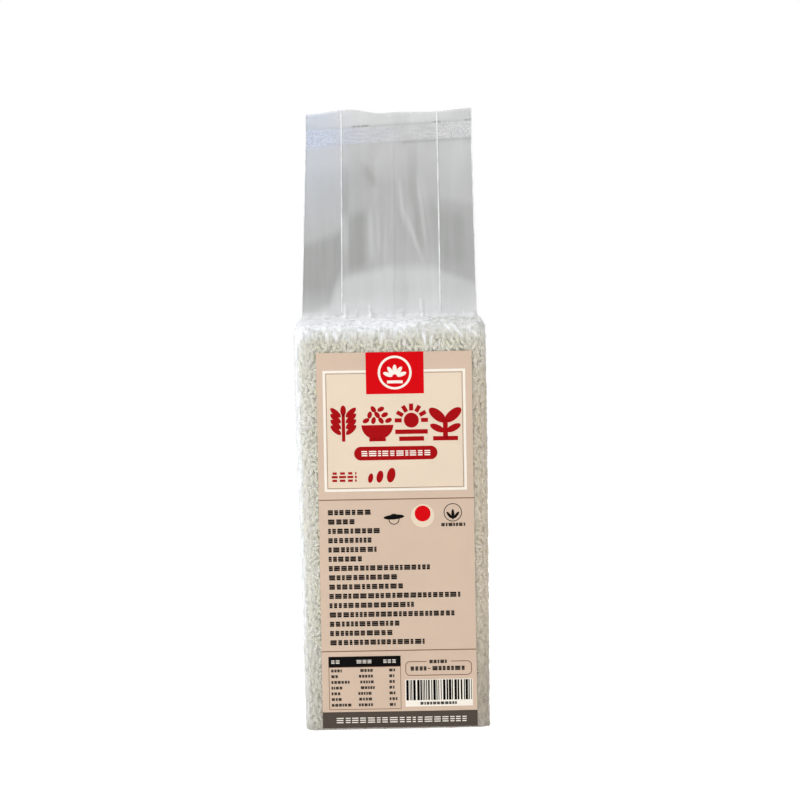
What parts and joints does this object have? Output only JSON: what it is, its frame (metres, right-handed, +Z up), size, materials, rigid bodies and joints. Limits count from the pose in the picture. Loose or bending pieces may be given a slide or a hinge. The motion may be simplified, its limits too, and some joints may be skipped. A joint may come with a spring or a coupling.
{
  "type": "vacuum rice pack",
  "caption": "Upright brick of white rice, vacuum-packed in a clear side-gusset bag with a heat-sealed flat film tail and a front label.",
  "frame": {"origin": "middle of the base that the pack stands on", "axes": "+Z up along the pack towards the film tail, -Y out of the labelled front, X across its width"},
  "size_m": [0.116, 0.0427, 0.377],
  "materials": {
    "rice_grains": "milled white rice, matte to waxy, seen through the film",
    "clear_film": "clear glossy vacuum-bag film",
    "label_face": "satin tan label film",
    "label_cream": "satin cream print",
    "label_red": "satin red print",
    "label_dark": "satin near-black print"
  },
  "bodies": {
    "root": {"rice_bag": "rice_grains", "front_label": "label_face"}
  },
  "joints": []
}
